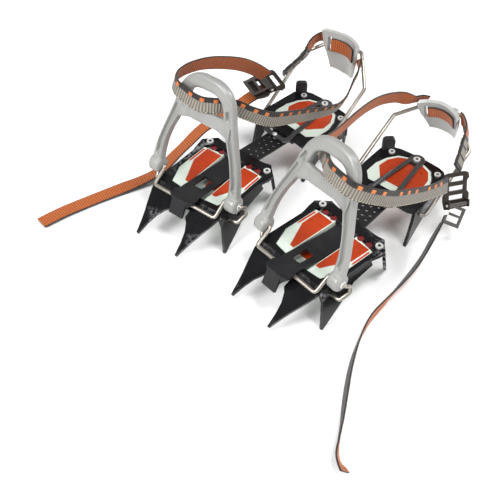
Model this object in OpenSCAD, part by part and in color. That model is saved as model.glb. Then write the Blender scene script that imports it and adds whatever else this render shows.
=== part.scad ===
// A pair of ten-point strap-on crampons. Each crampon has its own frame: X out to the wearer's outer
// side, Y back to the heel, Z up from the point tips; its zero is between the two front rivets.
// The right crampon is the mirror image of the left, turned and set down beside it.

/* [Steel] */
// Height of the boot platform above the point tips
platform_h = 40; // [38:0.5:42]
// Thickness of the pressed steel sheet
sheet_t = 3; // [2.5:0.1:3]
// Half width of the front section between its side flanges
front_half_w = 40; // [39:0.5:41]
// Half width of the heel section
heel_half_w = 38; // [38:0.5:38.5]
// Width of the linking bar
bar_w = 23; // [20:0.5:23]
// Thickness of the linking bar
bar_t = 2.5; // [2:0.1:2.5]

/* [Wire] */
// Diameter of the toe and heel wires
wire_d = 4; // [3:0.1:4]

/* [Binding] */
// Width of the webbing
webbing_w = 15; // [12:1:15]
// Thickness of the webbing
webbing_t = 1.6; // [1.2:0.1:1.8]
// Backward lean of the left toe harness, in degrees
left_lean = 21; // [18:1:24]
// Backward lean of the right toe harness, in degrees
right_lean = 15; // [12:1:18]
// Distance of the left heel section along the linking bar
left_reach = 108.6; // [106:0.1:112]
// Distance of the right heel section along the linking bar
right_reach = 116.2; // [112:0.1:118]

/* [Hidden] */
$fn = 48;

// Where the two crampons stand, and the shift that puts the pair's box centre on the origin
pair_shift = [67.2, -12.9, 0];
right_at = [-137, -14.6, 0];
right_turn = 10.5;

// Front section
fold_y = -75;
front_slope = 28;
flange_tilt = 12;
corner_tilt = 9;
front_rivet_x = 35.2;
toe_wire_y = -80;
toe_wire_z = 39.5;
knuckle_y = -64;
knuckle_z = 51;
wire_hole_z = 28.8;
wire_hole_r = 2.8;

// Linking bar: it pivots off the crampon's centre line behind the front section
bar_angle = 8.5;
bar_x = -2;
bar_z = 33.7;
bar_rise_y = -10;
bar_rise = 0.13;
bar_end = 108;
left_tongue_y = -8;

// Heel section
heel_rivet_x = 26;
lever_y = 4;
lever_z = 40.2;
lever_t = 1.8;
lever_hinge_y = -4;
hook_y = -46;
hook_z = 29;
wire_arm_x = 42.2;
wire_len = 106;
left_wire_angle = 27;
right_wire_angle = 41;
left_cup_tilt = 20;
right_cup_tilt = 0;

// Heel cup: part of a ring around an upright axis, hung on the heel wire's cross piece
cup_r = 26;
cup_t = 3.5;
cup_back = 3;

// Buckle: where its upper bar lies, and the turns that aim it down the strap
left_buckle_at = [31, 104, 60];
left_buckle_turn = [63, 9, 72];
left_pin_y = -26.5;
left_cam_turn = -26;
right_buckle_at = [19, 87, 72];
right_buckle_turn = [6, -10, 22];
right_pin_y = -13;
right_cam_turn = 0;

// Routes of the webbing: a point, then the way that its outer face looks.
// Left: from the heel cup's inner slot forward to the harness window
left_inner_route = [
    [-43.3, 145.2, 82.6, -0.7, 0.6, 0.4], [-47.8, 139.4, 84.6, -0.9, 0.3, 0.5], [-52, 131, 85, -1, 0.1, 0.5],
    [-57, 119, 91, -1, 0, 0.4], [-59, 100, 97, -1, 0, 0.3], [-58, 80, 101, -1, 0, 0.2],
    [-54, 58, 104, -1, 0, 0.2], [-50, 36, 104, -1, -0.1, 0.2], [-44, 14, 107, -0.9, -0.4, 0.2],
    [-36, -6, 114, -0.7, -0.7, 0.2], [-25, -19, 121.5, -0.6, -0.7, 0.3], [-14, -27, 127, -0.6, -0.7, 0.3],
    [-8, -32, 128.5, -0.6, -0.7, 0.3]
];
// Left: from the harness window round the outer shoulder and back to the buckle
left_outer_route = [
    [-6.5, -33.3, 129, -0.6, -0.7, 0.3], [-1, -38, 131, -0.5, -0.8, 0.3], [7, -42, 132, -0.2, -0.9, 0.4],
    [19, -43.5, 132, 0.1, -0.9, 0.4], [30, -43.2, 130.5, 0.5, -0.8, 0.3], [38, -35.3, 126, 0.8, -0.6, 0.3],
    [43, -22, 118, 0.9, -0.4, 0.2], [45, -4, 107, 1, -0.1, 0.2], [45, 16, 97, 1, 0, 0.2],
    [44, 38, 86, 1, 0, 0.2], [42, 58, 77, 1, 0.1, 0.2], [39.5, 73, 70, 0.9, 0.2, 0.3],
    [38, 82, 66, 0.9, 0.2, 0.3]
];
// Left: sewn loop from the heel cup's outer slot to the buckle
left_loop_route = [
    [-4, 149.6, 81.2, 0.6, 0.7, 0.2], [2.5, 146.7, 82.6, 0.6, 0.7, 0.3], [10, 140.8, 81, 0.8, 0.6, 0.3],
    [16, 131, 73.5, 0.8, 0.5, 0.4], [22, 121, 68.5, 0.8, 0.4, 0.4], [28, 109, 64, 0.8, 0.3, 0.4]
];
// Left: free tail below the buckle, on edge at first and then along the ground
left_tail_route = [
    [47, 73, 31, 0.8, 0.5, -0.2], [50, 60, 23, 0.8, 0.5, -0.3], [54, 44, 14, 0.9, 0.4, -0.4],
    [58, 24, 8.6, 0.9, 0.2, -0.5], [62, 2, 7.7, 0.9, 0.1, -0.4], [66, -20, 7.7, 1, 0, -0.2],
    [70, -42, 7.7, 1, 0, -0.1], [77, -61, 7.7, 0.9, 0.2, -0.1], [86, -79, 7.7, 0.9, 0.4, -0.2],
    [98, -98, 7.7, 0.8, 0.5, -0.2], [112, -117, 7.7, 0.8, 0.6, -0.2], [126, -135, 7.7, 0.8, 0.6, -0.1],
    [137, -150, 7.7, 0.8, 0.6, 0], [147, -161, 7.6, 0.6, 0.8, 0.3], [158, -165, 6.6, 0.4, 0.7, 0.6]
];
// Right: the same four runs
right_inner_route = [
    [-42.8, 137.9, 96.4, -0.7, 0.6, -0.2], [-47, 131.9, 88, -0.9, 0.2, -0.3], [-48, 121, 79, -1, 0, -0.4],
    [-51, 106, 72, -1, 0, -0.4], [-52, 90, 71, -1, 0, -0.4], [-52, 74, 76, -1, 0, -0.4],
    [-51, 55, 84, -1, 0, -0.3], [-49, 36, 92, -1, 0, -0.2], [-46, 14, 101, -1, -0.1, -0.1],
    [-42, -8, 111, -0.9, -0.4, 0.1], [-33, -24, 122, -0.6, -0.8, 0.2], [-22.6, -31.7, 128.2, -0.6, -0.7, 0.2],
    [-16, -37, 129.5, -0.6, -0.7, 0.2]
];
right_outer_route = [
    [-14, -38.9, 130.2, -0.6, -0.7, 0.2], [-7.4, -44.6, 131, -0.5, -0.8, 0.2], [1, -50, 131.5, -0.2, -0.9, 0.3],
    [11, -51.5, 133, 0.1, -0.9, 0.3], [22, -51, 135.5, 0.2, -0.9, 0.3], [30, -49.7, 137, 0.5, -0.8, 0.3],
    [38, -41, 138, 0.9, -0.5, 0.3], [40, -25, 137, 1, -0.1, 0.3], [37, -4, 133, 1, 0.1, 0.3],
    [33, 18, 124, 1, 0.1, 0.3], [29, 40, 112, 1, 0.2, 0.3], [26, 58, 98, 0.9, 0.3, 0.4],
    [22.5, 72, 84, 0.8, 0.3, 0.5]
];
right_loop_route = [
    [-1.4, 144.4, 101, 0.6, 0.7, 0.2], [4.9, 140.6, 102, 0.6, 0.7, 0.4], [9.5, 132.6, 98, 0.8, 0.4, 0.4],
    [11, 121, 87.5, 0.8, 0.3, 0.5], [15, 107, 80.5, 0.8, 0.3, 0.5], [18, 96, 75.5, 0.8, 0.3, 0.5]
];
right_tail_route = [
    [23, 76, 68, -0.1, 0.2, 1], [27, 67, 65, -0.1, 0.2, 1], [31, 56, 62, 0, 0.1, 1],
    [36, 42, 57, 0, 0.1, 1], [43.5, 24, 51, 0, 0, 1], [50.5, 6, 44.5, 0.1, 0, 1],
    [55.5, -10, 35, 0.1, 0, 1], [61.5, -24, 24, 0.1, 0, 1], [67, -40, 13, 0.1, 0.1, 1],
    [76, -56, 6, 0.1, 0.1, 1], [86, -76, 3, 0, 0, 1], [95, -98, 2, 0, 0, 1],
    [102, -118, 2, 0, 0, 1], [108, -138, 2.5, 0, 0, 1], [113, -160, 2.5, 0, 0, 1]
];

function mirrored(points) = [for (i = [len(points) - 1 : -1 : 0]) [-points[i][0], points[i][1]]];
function unit(v) = v / norm(v);
function spot(row) = [row[0], row[1], row[2]];
function facing(row) = [row[3], row[4], row[5]];

module both_sides() {
    children();
    mirror([1, 0, 0]) children();
}

// Closed outline from its half at X > 0, which starts and ends on the centre line
module full_outline(half) {
    polygon(concat(half, mirrored(half)));
}

// Upright sheet, drawn as [along, height] points; its outer face looks along X, leaning out by tilt
module bent_plate(outline, tilt) {
    rotate([0, -tilt, 0]) translate([-sheet_t, 0, 0]) rotate([90, 0, 90])
        linear_extrude(sheet_t) polygon(outline);
}

// Solid skin over a run of rings that all have the same number of points
module skin(rings) {
    n = len(rings[0]);
    last = len(rings) - 1;
    sides = [
        for (i = [0 : last - 1])
            for (k = [0 : n - 1])
                let (a = i * n + k, b = i * n + (k + 1) % n)
                each [[a, b, a + n], [b, b + n, a + n]]
    ];
    caps = [
        for (k = [1 : n - 2])
            each [[0, k + 1, k], [last * n, last * n + k, last * n + k + 1]]
    ];
    polyhedron([for (ring = rings) each ring], concat(sides, caps));
}

function heading(points, i) = unit(points[min(i + 1, len(points) - 1)] - points[max(i - 1, 0)]);

// A side direction handed on from point to point, so that the rings don't twist
function carried(points, side, i) =
    i >= len(points)
        ? []
        : let (t = heading(points, i), m = unit(side - t * (side * t)))
            concat([m], carried(points, m, i + 1));

// Each corner of a route turned into a bend of radius r
function rounded(points, r) =
    let (last = len(points) - 1)
    [
        points[0],
        for (i = [1 : last - 1])
            let (
                p = points[i],
                u = unit(p - points[i - 1]),
                v = unit(points[i + 1] - p),
                half = acos(u * v) / 2,
                trim = r * tan(half)
            )
            each [p - u * trim, p + unit(v - u) * r * (1 / cos(half) - 1), p + v * trim],
        points[last]
    ];

// Bent wire
module rod(route, d, bend) {
    points = rounded(route, bend);
    sides = carried(points, [0.3, 0.4, 0.86], 0);
    skin([
        for (i = [0 : len(points) - 1])
            let (m = sides[i], q = cross(m, heading(points, i)))
            [for (k = [0 : 7]) points[i] + (m * cos(45 * k) + q * sin(45 * k)) * (d / 2 - 0.04)]
    ]);
}

// Straight, truly round stretch of a wire, where something turns on it
module pivot_rod(a, b, d) {
    v = b - a;
    translate(a) rotate([0, acos(v[2] / norm(v)), atan2(v[1], v[0])]) cylinder(h = norm(v), d = d);
}

// Webbing swept along a route, with a flat eight-sided section
module webbing(route) {
    section = [
        [-0.5, -0.25], [-0.47, -0.5], [0.47, -0.5], [0.5, -0.25],
        [0.5, 0.25], [0.47, 0.5], [-0.47, 0.5], [-0.5, 0.25]
    ];
    points = [for (row = route) spot(row)];
    skin([
        for (i = [0 : len(route) - 1])
            let (
                along = heading(points, i),
                across = unit(cross(along, facing(route[i]))),
                out = cross(across, along)
            )
            [for (s = section) points[i] + across * s[0] * webbing_w + out * s[1] * webbing_t]
    ]);
}

// ---- Front section ----

front_opening = [[0, -4], [33, -4], [36, -8], [36, -46], [28, -66], [0, -69]];

module front_frame() {
    drop = (platform_h - sheet_t * sin(flange_tilt)) / cos(flange_tilt);
    corner_drop = (platform_h - sheet_t * sin(corner_tilt)) / cos(corner_tilt);
    w = front_half_w;
    top = [[0, 8], [24, 8], [32.8, 9.7], [44.2, -1.7], [43, -9], [w, -22], [w, fold_y], [0, fold_y]];
    points = [
        [0, 9.5], [9.5, 9.5], [9.5, 17], [13.5, 21], [17.8, 29], [20.6, 39], [22.6, 52], [24.2, 52],
        [27, 41], [30, 31], [33.6, 21], [38, 8],
        [w - 0.5, 0], [w - 0.5, -2], [0, -2]
    ];
    side = [
        [-16, 0], [-14, -9], [-38, -13], [-54, -25], [-78, -drop], [-80, -drop], [-75.5, -14],
        [-77, -4], [fold_y, 0]
    ];
    corner = [[-8, 0], [-8, -17], [-3, -21], [8.6, -corner_drop], [9.8, -corner_drop], [8, -17], [8, 0]];
    color("#24262a") difference() {
        union() {
            translate([0, 0, platform_h - sheet_t]) linear_extrude(sheet_t) full_outline(top);
            translate([0, fold_y, platform_h]) rotate([front_slope, 0, 0]) translate([0, 0, -sheet_t])
                linear_extrude(sheet_t) mirror([0, 1, 0]) full_outline(points);
            both_sides() {
                translate([w, 0, platform_h]) bent_plate(side, flange_tilt);
                translate([38.5, 4, platform_h]) rotate([0, 0, 45]) bent_plate(corner, corner_tilt);
            }
        }
        translate([0, 0, platform_h - 2 * sheet_t]) linear_extrude(3 * sheet_t) full_outline(front_opening);
        both_sides() {
            // Rivet hole, notches for the clips, and the two wire holes in the side flange
            translate([front_rivet_x, 0, 30]) cylinder(h = 12, r = 2.1);
            for (x = [17, 27]) translate([x, -4, 30]) cylinder(h = 12, r = 3.5);
            for (y = [knuckle_y, knuckle_y + 11])
                translate([w, y, platform_h]) rotate([0, -flange_tilt, 0])
                    translate([-5, 0, wire_hole_z - platform_h]) rotate([0, 90, 0])
                        cylinder(h = 8, r = wire_hole_r);
        }
    }
}

front_pad = [[13, -5.2], [35.4, -8.4], [35.4, -45.9], [27.6, -65.2], [13, -67.4]];
front_panel = [[13.8, -9], [31.5, -9], [31, -30], [18.5, -57], [13.8, -57]];

// Pale pan under the frame, with a pad that fills each side of the opening
module front_plate() {
    base = [[0, 6], [31, 6], [36.5, 0.5], [36.5, -50], [28, -70], [0, -70]];
    color("#dfe6dc") difference() {
        union() {
            translate([0, 0, 29]) linear_extrude(2.5) full_outline(base);
            both_sides() {
                translate([0, 0, 31]) linear_extrude(7.6) polygon(front_pad);
            }
        }
        both_sides() {
            translate([0, 0, 37]) linear_extrude(3) polygon(front_panel);
            translate([front_rivet_x, 0, 25]) cylinder(h = 14, r = 2.1);
            for (x = [17, 27]) translate([x, -4, 31.5]) cylinder(h = 12, r = 3.4);
        }
    }
}

module front_panels() {
    color("#d8431c") both_sides() translate([0, 0, 37]) linear_extrude(2.2) polygon(front_panel);
}

module front_rivets() {
    color("#b8bcc0") both_sides() translate([front_rivet_x, 0, 0]) {
        translate([0, 0, 28.2]) cylinder(h = 13, r = 2);
        difference() {
            translate([0, 0, platform_h]) cylinder(h = 1.4, r = 3.4);
            translate([0, 0, platform_h + 0.9]) cylinder(h = 1, r = 1.6);
        }
        translate([0, 0, 27.4]) cylinder(h = 1.6, r = 3);
    }
}

module front_clips() {
    color("#7d1417") both_sides() for (x = [17, 27])
        translate([x, -4, 31.5]) cylinder(h = 7, r = 3.2);
}

function toe_wire_half(side) = [
    [side * 38, knuckle_y, wire_hole_z], [side * 49.5, -63, wire_hole_z],
    [side * 53, -55, 36], [side * 54, -57, 46], [side * 53.6, knuckle_y, knuckle_z],
    [side * 36.4, knuckle_y, knuckle_z], [side * 36.4, toe_wire_y, toe_wire_z]
];

module toe_wire() {
    right_half = toe_wire_half(-1);
    route = concat(toe_wire_half(1), [for (i = [len(right_half) - 1 : -1 : 0]) right_half[i]]);
    color("#b9bbbb") {
        rod(route, wire_d, 2.4);
        both_sides() {
            pivot_rod([38.9, knuckle_y, knuckle_z], [51, knuckle_y, knuckle_z], wire_d);
        }
    }
}

// Toe harness: drawn flat as [across, up the lean], then stood on the knuckles at its lean
module toe_harness(lean) {
    depth = 10;
    outer = [
        [0, 106], [10, 105.5], [19, 102], [26, 95], [30, 86], [33, 72], [38, 56], [43, 40],
        [47.5, 24], [50, 10], [50.5, 0], [39.5, 0], [39.5, 10], [38.5, 24], [35.5, 38], [30, 51],
        [24, 58.5], [16, 61], [0, 61]
    ];
    window = [[0, 74], [15, 74], [20.5, 78], [18.5, 86], [13, 91.5], [0, 93]];
    color("#c9cdca") translate([0, knuckle_y, knuckle_z]) rotate([-lean, 0, 0]) difference() {
        union() {
            difference() {
                rotate([90, 0, 0]) translate([0, 0, -depth / 2]) linear_extrude(depth) full_outline(outer);
                rotate([90, 0, 0]) translate([0, 0, -depth]) linear_extrude(2 * depth) full_outline(window);
            }
            both_sides() translate([39.5, 0, 0]) rotate([0, 90, 0]) cylinder(h = 11, r = 8.5);
        }
        both_sides() translate([35, 0, 0]) rotate([0, 90, 0]) cylinder(h = 20, r = wire_d / 2 + 0.05);
    }
}

// ---- Linking bar ----

module linking_bar(tongue_y) {
    lip = [-85.5, bar_z + bar_t + (bar_rise_y + 85.5) * bar_rise];
    lip_end = lip + 17 * [-cos(65), -sin(65)];
    lip_in = bar_t * [sin(65), -cos(65)];
    profile = [
        [8, bar_z], [8, bar_z + bar_t], [bar_rise_y, bar_z + bar_t], lip, lip_end, lip_end + lip_in,
        [-83.5, bar_z + (bar_rise_y + 83.5) * bar_rise], [bar_rise_y, bar_z]
    ];
    half = bar_w / 2;
    plan = [
        [0, 8], [half, 8], [half, -72], [half + 2, -75], [half + 2, -83], [8, -86.5], [8, -94], [0, -94]
    ];
    color("#2b2c2e") difference() {
        union() {
            translate([bar_x + 2.5, tongue_y, 0]) intersection() {
                rotate([90, 0, 90]) translate([0, 0, -15]) linear_extrude(30) polygon(profile);
                difference() {
                    translate([0, 0, 20]) linear_extrude(40) full_outline(plan);
                    translate([-5, -60.5, 20]) cube([10, 18, 40]);
                }
            }
            translate([bar_x, 0, bar_z]) rotate([0, 0, bar_angle]) translate([-half, -2, 0])
                cube([bar_w, bar_end + 2, bar_t]);
        }
        translate([bar_x, 0, bar_z - 1]) rotate([0, 0, bar_angle]) for (i = [0 : 12])
            for (row = [-1 : 1])
                translate([row * 6.6, 15 + 7 * i + 3.5 * abs(row), 0]) cylinder(h = bar_t + 2, r = 1.6);
    }
}

// ---- Heel section, drawn with its zero between the two heel rivets ----

heel_opening = [[0, 6], [9, 5.5], [19, 1], [26, -9], [30, -22], [30, -38], [22, -47], [0, -47]];

module heel_corner() {
    translate([33, 3, platform_h]) rotate([0, 0, 45]) children();
}

module heel_frame(ear_side) {
    top = [
        [0, 11], [12, 10.8], [22, 10], [28, 8], [38, -2], [heel_half_w, -8], [heel_half_w, -57],
        [30, -60], [0, -59]
    ];
    side = [
        [-6, 0], [-6, -14], [-34, -15], [-48, -27], [-62, -platform_h], [-64, -platform_h],
        [-58.5, -14], [-57, 0]
    ];
    corner = [
        [-7, 0], [-7, -14], [-2, -18], [6.4, -platform_h], [7.8, -platform_h], [7, -14], [7, 0]
    ];
    color("#24262a") difference() {
        union() {
            difference() {
                translate([0, 0, platform_h - sheet_t]) linear_extrude(sheet_t) full_outline(top);
                translate([0, 0, 30]) linear_extrude(20) full_outline(heel_opening);
            }
            translate([0, lever_y, platform_h - sheet_t]) cylinder(h = sheet_t, r = 7);
            both_sides() {
                translate([heel_half_w, 0, platform_h]) bent_plate(side, 0);
                heel_corner() bent_plate(corner, 0);
            }
            mirror([ear_side > 0 ? 0 : 1, 0, 0]) heel_corner()
                translate([-2.5, -4.5, -1]) cube([2, 9, 13]);
        }
        both_sides() {
            translate([heel_rivet_x, 0, 30]) cylinder(h = 12, r = 2.1);
            translate([heel_half_w - 5, hook_y, hook_z]) rotate([0, 90, 0])
                cylinder(h = 8, r = wire_d / 2 + 0.05);
        }
        translate([0, lever_y, 30]) cylinder(h = 12, r = 2.2);
    }
}

heel_pad = [[0, 5.2], [8.6, 4.8], [18.4, 0.4], [25.2, -9.4], [29.3, -22.2], [29.3, -37.8], [21.6, -46.3], [0, -46.3]];
heel_panel = [[0, 2.5], [8, 2.2], [17, -2], [23, -12], [24.5, -24], [14, -38], [0, -38]];

module heel_plate() {
    foot = [[14, 2], [24, 2], [29, -5], [33.5, -12], [33.5, -40], [25, -47], [14, -47]];
    color("#dfe6dc") difference() {
        union() {
            translate([0, 0, 36.4]) linear_extrude(3) full_outline(heel_pad);
            both_sides() translate([0, 0, 29]) linear_extrude(7.8) polygon(foot);
        }
        translate([0, 0, 38.2]) linear_extrude(3) full_outline(heel_panel);
        translate([0, lever_y, 30]) cylinder(h = 12, r = 7.4);
        both_sides() translate([heel_rivet_x, 0, 20]) cylinder(h = 20, r = 2.1);
    }
}

// Flexible panel in the platform, and the bellows under the bar
module heel_panels() {
    under = [[0, -6], [12.8, -6], [12.8, -50], [0, -50]];
    color("#d8431c") {
        difference() {
            translate([0, 0, 38.2]) linear_extrude(1.6) full_outline(heel_panel);
            translate([0, lever_y, 30]) cylinder(h = 12, r = 7.4);
        }
        translate([0, 0, 26.5]) linear_extrude(6.6) full_outline(under);
    }
}

module heel_rivets() {
    color("#b8bcc0") both_sides() translate([heel_rivet_x, 0, 0]) {
        translate([0, 0, 28.2]) cylinder(h = 13, r = 2);
        difference() {
            translate([0, 0, platform_h]) cylinder(h = 1.4, r = 3.1);
            translate([0, 0, platform_h + 0.9]) cylinder(h = 1, r = 1.5);
        }
        translate([0, 0, 27.4]) cylinder(h = 1.6, r = 3);
    }
}

module heel_ear(ear_side) {
    color("#17181a") mirror([ear_side > 0 ? 0 : 1, 0, 0]) heel_corner() difference() {
        translate([-3.7, 0, 0.1]) rotate([90, 0, 90]) linear_extrude(4.9) union() {
            translate([-6, 0]) square([12, 10]);
            translate([-2.5, 10]) circle(r = 3.5);
            translate([2.5, 10]) circle(r = 3.5);
            translate([-2.5, 9]) square([5, 4.5]);
        }
        translate([-2.6, -4.6, -1]) cube([2.2, 9.2, 13.2]);
    }
}

module bar_guide() {
    half = bar_w / 2;
    color("#1d1e20") for (y = [-57.5, 6.4]) translate([0, y, 0]) difference() {
        translate([-half - 2.6, 0, 31.2]) cube([bar_w + 5.2, 3.6, 5.7]);
        translate([-half - 0.3, -1, bar_z - 0.3]) cube([bar_w + 0.6, 6, bar_t + 0.6]);
    }
}

// Sprung strip: its rear end is riveted down, and its arms and bracket lift to free the bar
module lever_root() {
    color("#85898c") translate([0, 0, lever_z]) difference() {
        union() {
            translate([0, lever_y, 0]) cylinder(h = lever_t, r = 8);
            translate([-8, lever_hinge_y, 0]) cube([16, lever_y - lever_hinge_y, lever_t]);
        }
        translate([0, lever_y, -1]) cylinder(h = 4, r = 2.2);
        translate([-3.4, lever_hinge_y - 1, -1]) cube([6.8, 4, 4]);
        translate([-9, lever_hinge_y - 9, -1]) cube([18, 9.2, 4]);
    }
}

module lock_lever() {
    arm = [[3.4, lever_hinge_y], [8, lever_hinge_y], [14.5, -54], [9.5, -54]];
    color("#85898c") translate([0, 0, lever_z]) linear_extrude(lever_t) union() {
        polygon(arm);
        mirror([1, 0, 0]) polygon(arm);
        difference() {
            polygon([[-14.5, -53], [14.5, -53], [17.5, -66], [13, -71], [-13, -71], [-17.5, -66]]);
            polygon([[-9.5, -52], [9.5, -52], [11.5, -64], [9, -66], [-9, -66], [-11.5, -64]]);
        }
    }
}

module lever_rivet() {
    color("#b8bcc0") translate([0, lever_y, 0]) {
        translate([0, 0, 36.7]) cylinder(h = 6, r = 2);
        translate([0, 0, lever_z + lever_t]) cylinder(h = 1.2, r = 3.4);
    }
}

module lock_pin() {
    color("#9a9da0") translate([0, -68.5, 0]) {
        translate([0, 0, bar_z + bar_t + 0.4]) cylinder(h = lever_z - bar_z - bar_t - 0.4, r = 1.5);
        translate([0, 0, lever_z + lever_t]) cylinder(h = 0.9, r = 2.3);
    }
}

function heel_wire_point(x, along, angle) =
    [x, hook_y + along * cos(angle), hook_z + along * sin(angle)];

module heel_wire(angle, extra = 0) {
    half = [[wire_arm_x - 7.2, 0], [wire_arm_x, 0], [wire_arm_x, 77], [22, 100], [16, wire_len]];
    route = concat(half, mirrored(half));
    color("#b9bbbb") {
        rod([for (p = route) heel_wire_point(p[0], p[1], angle)], (wire_d + extra), 4);
        pivot_rod(heel_wire_point(-14, wire_len, angle), heel_wire_point(14, wire_len, angle), (wire_d + extra));
        both_sides()
            pivot_rod(heel_wire_point(wire_arm_x - 7.5, 0, angle), heel_wire_point(wire_arm_x - 3.2, 0, angle), (wire_d + extra));
    }
}

// ---- Heel cup: its zero is on the heel wire's cross piece ----

module on_heel_wire(angle, tilt) {
    translate(heel_wire_point(0, wire_len, angle)) rotate([tilt, 0, 0]) children();
}

module heel_cup() {
    axis_y = -cup_back - cup_t - cup_r;
    face = [[0, 14], [9, 13.5], [17, 14.5], [22, 16], [21, 6], [20, -2], [17, -14], [14, -27], [0, -29]];
    color("#c9cdca") difference() {
        union() {
            intersection() {
                translate([0, axis_y, -29]) difference() {
                    cylinder(h = 52, r = cup_r + cup_t, $fn = 96);
                    translate([0, 0, -1]) cylinder(h = 54, r = cup_r, $fn = 96);
                }
                rotate([90, 0, 0]) translate([0, 0, -5]) linear_extrude(35) full_outline(face);
            }
            both_sides() translate([5, 0, 0]) rotate([0, 90, 0]) cylinder(h = 5, r = 4.5);
        }
        both_sides() {
            translate([-1, 0, 0]) rotate([0, 90, 0]) cylinder(h = 12, r = wire_d / 2 + 0.05);
            translate([15, -20, -8.3]) cube([2.6, 30, 16.6]);
        }
    }
}

module cup_strap() {
    axis_y = -cup_back - cup_t - cup_r;
    color("#c85a22") intersection() {
        translate([0, axis_y, -7.5]) difference() {
            cylinder(h = webbing_w, r = cup_r - 0.3, $fn = 96);
            translate([0, 0, -1]) cylinder(h = webbing_w + 2, r = cup_r - 0.3 - webbing_t, $fn = 96);
        }
        translate([-14.5, -20, -10]) cube([29, 30, 20]);
    }
}

// ---- Buckle: its zero is on its upper bar, and the strap runs down its -Y ----

module buckle_frame(pin_y) {
    outline = [
        [0, 3], [10.5, 3], [13.5, 1.5], [14.5, -3], [12, -6], [12, -15], [14.5, -18], [14.5, -23],
        [12.5, -31], [0, -31]
    ];
    color("#6d6f72") difference() {
        union() {
            linear_extrude(2) full_outline(outline);
            both_sides() translate([10.2, pin_y - 3.5, 1]) cube([1.8, 7, 5.7]);
        }
        for (y = [-5.5, -14, -22.5]) translate([-8.2, y, -1]) cube([16.4, 4.6, 4]);
        both_sides() translate([9, pin_y, 4.2]) rotate([0, 90, 0]) cylinder(h = 5, r = 1.25);
    }
}

module buckle_pin(pin_y) {
    color("#9a9da0") translate([-12.6, pin_y, 4.2]) rotate([0, 90, 0]) cylinder(h = 25.2, r = 1.2);
}

module buckle_cam(pin_y, turn) {
    color("#54565a") translate([0, pin_y, 4.2]) difference() {
        union() {
            translate([-9.8, 0, 0]) rotate([0, 90, 0]) cylinder(h = 19.6, r = 1.9);
            rotate([0, 0, turn]) difference() {
                translate([-10.5, -21, 0.4]) cube([21, 19.5, 1.4]);
                translate([-7.5, -17.5, -1]) cube([15, 5.5, 4]);
                translate([-7.5, -9.5, -1]) cube([15, 5, 4]);
            }
        }
        translate([-11, 0, 0]) rotate([0, 90, 0]) cylinder(h = 22, r = 1.25);
        both_sides() translate([9.8, -8, -3]) cube([6, 12, 6]);
    }
}

module sewn_loop(route) {
    color("#2c2b2a") webbing(route);
}

module strap(route) {
    color("#c85a22") webbing(route);
}

// ---- Placing ----

module on_left() {
    translate(pair_shift) children();
}

module on_right() {
    translate(pair_shift + right_at) rotate([0, 0, right_turn]) mirror([1, 0, 0]) children();
}

module heel_at(reach) {
    translate([bar_x, 0, 0]) rotate([0, 0, bar_angle]) translate([0, reach, 0]) children();
}

module on_left_heel() {
    on_left() heel_at(left_reach) children();
}

module on_right_heel() {
    on_right() heel_at(right_reach) children();
}

module on_left_cup() {
    on_left_heel() on_heel_wire(left_wire_angle, left_cup_tilt) children();
}

module on_right_cup() {
    on_right_heel() on_heel_wire(right_wire_angle, right_cup_tilt) children();
}

module on_left_buckle() {
    on_left() translate(left_buckle_at) rotate(left_buckle_turn) children();
}

module on_right_buckle() {
    on_right() translate(right_buckle_at) rotate(right_buckle_turn) children();
}

on_left() front_frame();  // left_front_frame
on_left() front_plate();  // left_front_plate
on_left() front_panels();  // left_front_panels
on_left() front_rivets();  // left_front_rivets
on_left() front_clips();  // left_front_clips
on_left() toe_wire();  // left_toe_wire
on_left() toe_harness(left_lean);  // left_toe_harness
on_left() linking_bar(left_tongue_y);  // left_linking_bar
on_left_heel() heel_frame(-1);  // left_heel_frame
on_left_heel() heel_plate();  // left_heel_plate
on_left_heel() heel_panels();  // left_heel_panels
on_left_heel() heel_rivets();  // left_heel_rivets
on_left_heel() heel_ear(-1);  // left_heel_ear
on_left_heel() bar_guide();  // left_bar_guide
on_left_heel() lock_lever();  // left_lock_lever
on_left_heel() lever_root();  // left_lever_root
on_left_heel() lever_rivet();  // left_lever_rivet
on_left_heel() lock_pin();  // left_lock_pin
on_left_heel() heel_wire(left_wire_angle);  // left_heel_wire
on_left_cup() heel_cup();  // left_heel_cup
on_left_cup() cup_strap();  // left_cup_strap
on_left_buckle() buckle_frame(left_pin_y);  // left_buckle_frame
on_left_buckle() buckle_cam(left_pin_y, left_cam_turn);  // left_buckle_cam
on_left_buckle() buckle_pin(left_pin_y);  // left_buckle_pin
difference() {  // left_sewn_loop
    on_left() sewn_loop(left_loop_route);
    on_left_heel() heel_wire(left_wire_angle, 0.7);
}
on_left() strap(left_inner_route);  // left_strap_inner
on_left() strap(left_outer_route);  // left_strap_outer
on_left() strap(left_tail_route);  // left_strap_tail
on_right() front_frame();  // right_front_frame
on_right() front_plate();  // right_front_plate
on_right() front_panels();  // right_front_panels
on_right() front_rivets();  // right_front_rivets
on_right() front_clips();  // right_front_clips
on_right() toe_wire();  // right_toe_wire
on_right() toe_harness(right_lean);  // right_toe_harness
on_right() linking_bar(0);  // right_linking_bar
on_right_heel() heel_frame(1);  // right_heel_frame
on_right_heel() heel_plate();  // right_heel_plate
on_right_heel() heel_panels();  // right_heel_panels
on_right_heel() heel_rivets();  // right_heel_rivets
on_right_heel() heel_ear(1);  // right_heel_ear
on_right_heel() bar_guide();  // right_bar_guide
on_right_heel() lock_lever();  // right_lock_lever
on_right_heel() lever_root();  // right_lever_root
on_right_heel() lever_rivet();  // right_lever_rivet
on_right_heel() lock_pin();  // right_lock_pin
on_right_heel() heel_wire(right_wire_angle);  // right_heel_wire
on_right_cup() heel_cup();  // right_heel_cup
on_right_cup() cup_strap();  // right_cup_strap
on_right_buckle() buckle_frame(right_pin_y);  // right_buckle_frame
on_right_buckle() buckle_cam(right_pin_y, right_cam_turn);  // right_buckle_cam
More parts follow.
